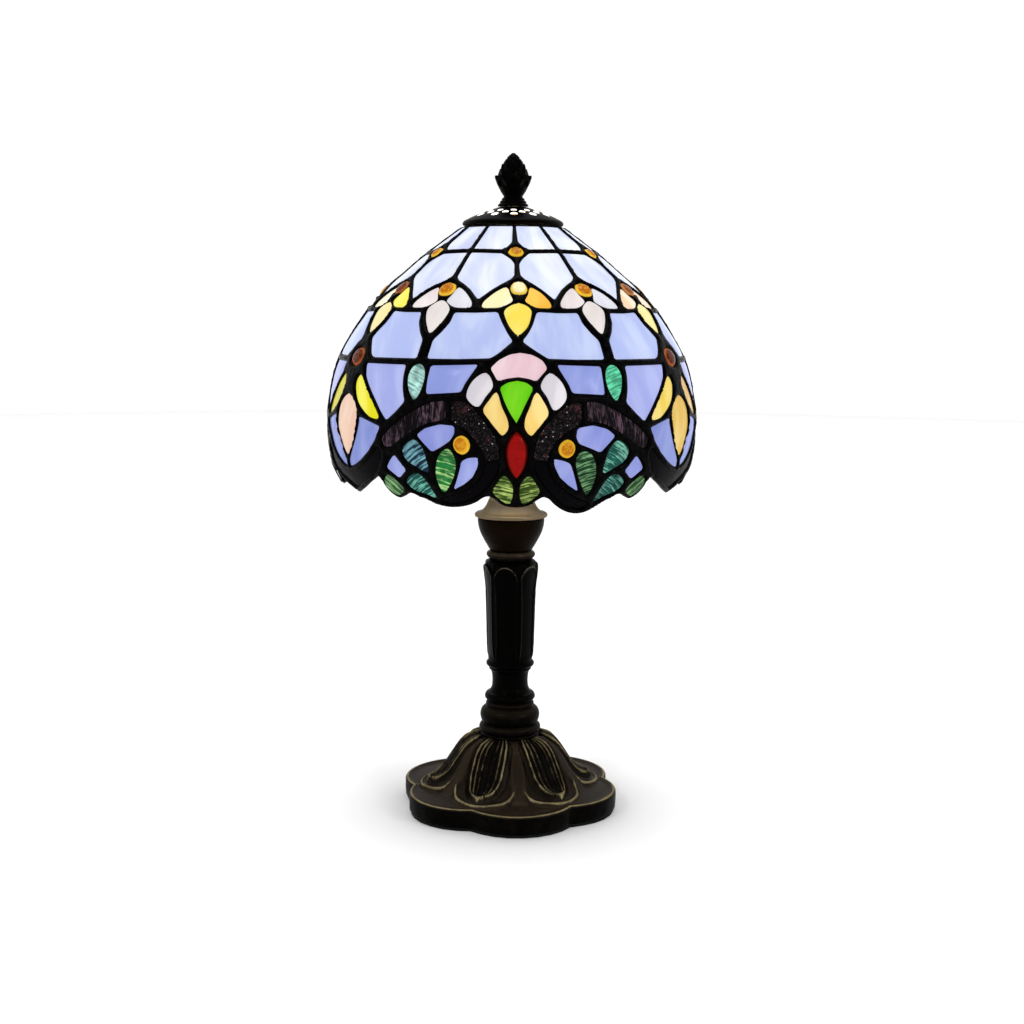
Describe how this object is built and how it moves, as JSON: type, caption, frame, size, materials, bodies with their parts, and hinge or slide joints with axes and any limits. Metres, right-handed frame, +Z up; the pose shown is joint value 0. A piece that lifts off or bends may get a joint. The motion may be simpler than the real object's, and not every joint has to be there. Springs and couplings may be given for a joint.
{
  "type": "stained glass table lamp",
  "caption": "Small table lamp with a leaded stained glass dome shade in blue, a vented cap, a pine cone finial and a cast dark bronze leaf foot and stem.",
  "frame": {"origin": "middle of the underside of the felt pad, on the table, on the axis of the stem", "axes": "+Z up along the stem, -Y towards the front of the lamp, +X to the viewer's right"},
  "size_m": [0.2032, 0.2024, 0.3652],
  "materials": {
    "bronze": "dark bronze patina on a zinc casting, satin, rubbed gold on raised edges",
    "brass": "polished and lacquered, slightly aged",
    "steel": "zinc plated",
    "felt": "dark green felt",
    "rubber": "matte black",
    "paper": "kraft insulating liner",
    "ceramic": "unglazed porcelain",
    "contact_glass": "black vitrite insulator with a tin contact",
    "bulb_glass": "inside-frosted",
    "lead": "solder with black patina, satin",
    "pale_glass": "opalescent sheet, near white with lavender",
    "blue_glass": "opalescent sheet, periwinkle blue with white streaks",
    "deep_glass": "opalescent sheet, deeper periwinkle blue"
  },
  "bodies": {
    "root": {"base_felt": "felt", "base_foot": "bronze", "cord_grommet": "rubber", "threaded_rod": "steel", "rod_washer": "steel", "rod_nut": "steel", "urn_knob": "bronze", "stem_collar": "bronze", "column": "bronze", "neck_ring": "bronze", "socket_cup": "bronze", "cup_cover": "brass", "harp_saddle": "brass", "harp_wire": "brass", "harp_stud": "brass", "socket_cap": "brass", "socket_shell": "brass", "socket_liner": "paper", "socket_screw_shell": "brass", "socket_core": "ceramic", "socket_centre_contact": "brass"},
    "ferrule_left": {"harp_ferrule_left": "brass"},
    "ferrule_right": {"harp_ferrule_right": "brass"},
    "bulb_carrier": {"bulb_contact": "contact_glass"},
    "bulb": {"bulb_screw_base": "brass", "bulb_glass": "bulb_glass"},
    "shade_seat": {"seat_washer": "brass"},
    "shade": {"heat_cap": "bronze", "shade_top_ring": "brass", "shade_lead_frame": "lead", "crown_pane_01": "pale_glass", "crown_pane_02": "pale_glass", "crown_pane_03": "pale_glass", "crown_pane_04": "pale_glass", "crown_pane_05": "pale_glass", "crown_pane_06": "pale_glass", "crown_pane_07": "pale_glass", "crown_pane_08": "pale_glass", "crown_pane_09": "pale_glass", "crown_pane_10": "pale_glass", "crown_pane_11": "pale_glass", "crown_pane_12": "pale_glass", "upper_panel_1": "blue_glass", "upper_panel_2": "blue_glass", "upper_panel_3": "blue_glass", "upper_panel_4": "blue_glass", "upper_panel_5": "blue_glass", "upper_panel_6": "blue_glass", "skirt_panel_1": "deep_glass", "skirt_panel_2": "deep_glass", "skirt_panel_3": "deep_glass", "skirt_panel_4": "deep_glass", "skirt_panel_5": "deep_glass", "skirt_panel_6": "deep_glass"},
    "finial_carrier": {"finial_insert": "brass"},
    "finial": {"finial": "bronze"}
  },
  "joints": [
    {"name": "ferrule_left_slide", "type": "slide", "parent": "root", "child": "ferrule_left", "axis": [0, 0, 1], "range_m": [0, 0.012]},
    {"name": "ferrule_right_slide", "type": "slide", "parent": "root", "child": "ferrule_right", "axis": [0, 0, 1], "range_m": [0, 0.012]},
    {"name": "bulb_rise", "type": "slide", "parent": "root", "child": "bulb_carrier", "axis": [0, 0, 1], "range_m": [0, 0.0145]},
    {"name": "bulb_turn", "type": "hinge", "parent": "bulb_carrier", "child": "bulb", "pos_m": [0, 0, 0.222], "axis": [0, 0, 1], "range_deg": [0, 1440]},
    {"name": "shade_lift", "type": "slide", "parent": "root", "child": "shade_seat", "axis": [0, 0, 1], "range_m": [0, 0.165]},
    {"name": "shade_swivel", "type": "hinge", "parent": "shade_seat", "child": "shade", "pos_m": [0, 0, 0.3345], "axis": [0, 0, 1], "continuous": true},
    {"name": "finial_rise", "type": "slide", "parent": "shade_seat", "child": "finial_carrier", "axis": [0, 0, 1], "range_m": [0, 0.0094]},
    {"name": "finial_turn", "type": "hinge", "parent": "finial_carrier", "child": "finial", "pos_m": [0, 0, 0.343], "axis": [0, 0, 1], "range_deg": [0, 3600]}
  ],
  "couplings": [
    {"joint": "bulb_turn", "follows": "bulb_rise", "rad_per_m": 1730.9},
    {"joint": "finial_turn", "follows": "finial_rise", "rad_per_m": 6677.1}
  ]
}
